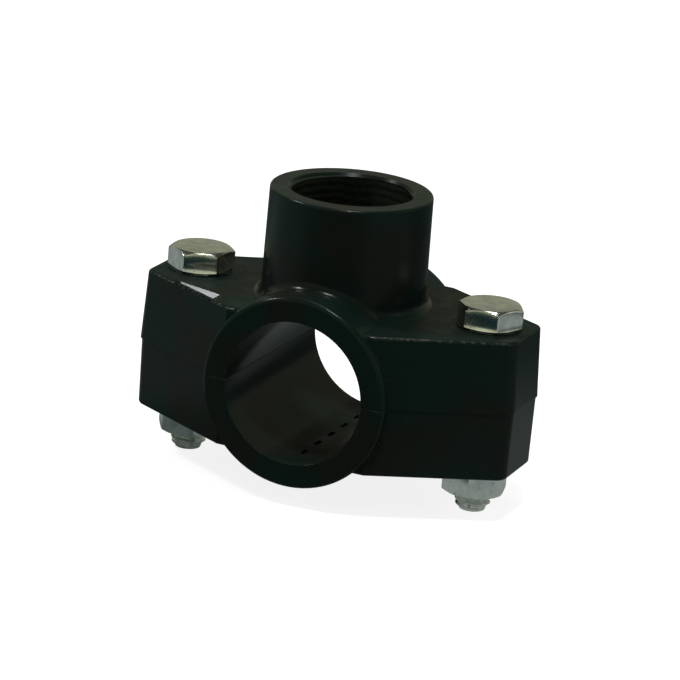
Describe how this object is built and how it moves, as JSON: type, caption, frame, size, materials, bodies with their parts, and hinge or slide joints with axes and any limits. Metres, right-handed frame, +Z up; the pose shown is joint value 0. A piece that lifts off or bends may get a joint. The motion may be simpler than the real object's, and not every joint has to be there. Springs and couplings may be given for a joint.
{
  "type": "tapping saddle",
  "caption": "Moulded pipe clamp saddle in two bolted halves, with a threaded outlet boss for a branch connection.",
  "frame": {"origin": "on the pipe's axis, midway along the saddle, in the plane where the two halves part", "axes": "+X from bolt to bolt, +Y along the pipe, +Z up through the threaded outlet"},
  "size_m": [0.0896, 0.0494, 0.0664],
  "materials": {
    "black_plastic": "smooth moulded, low gloss on top faces",
    "zinc_steel": "bright zinc plated",
    "black_rubber": "matt moulded rubber"
  },
  "bodies": {
    "upper_half": {"upper_shell": "black_plastic", "branch_seal": "black_rubber", "bolt_left": "zinc_steel", "bolt_right": "zinc_steel"},
    "lower_half": {"lower_shell": "black_plastic"},
    "left_nut": {"nut_left": "zinc_steel"},
    "right_nut": {"nut_right": "zinc_steel"}
  },
  "joints": [
    {"name": "clamp_opening", "type": "slide", "parent": "upper_half", "child": "lower_half", "axis": [0, 0, -1], "range_m": [0, 0.00375]},
    {"name": "left_nut_turn", "type": "hinge", "parent": "lower_half", "child": "left_nut", "pos_m": [-0.0346, 0, -0.01865], "axis": [0, 0, -1], "range_deg": [0, 1080]},
    {"name": "right_nut_turn", "type": "hinge", "parent": "lower_half", "child": "right_nut", "pos_m": [0.0346, 0, -0.01865], "axis": [0, 0, -1], "range_deg": [0, 1080]}
  ],
  "couplings": [
    {"joint": "left_nut_turn", "follows": "clamp_opening", "rad_per_m": 5026.5},
    {"joint": "right_nut_turn", "follows": "clamp_opening", "rad_per_m": 5026.5}
  ]
}
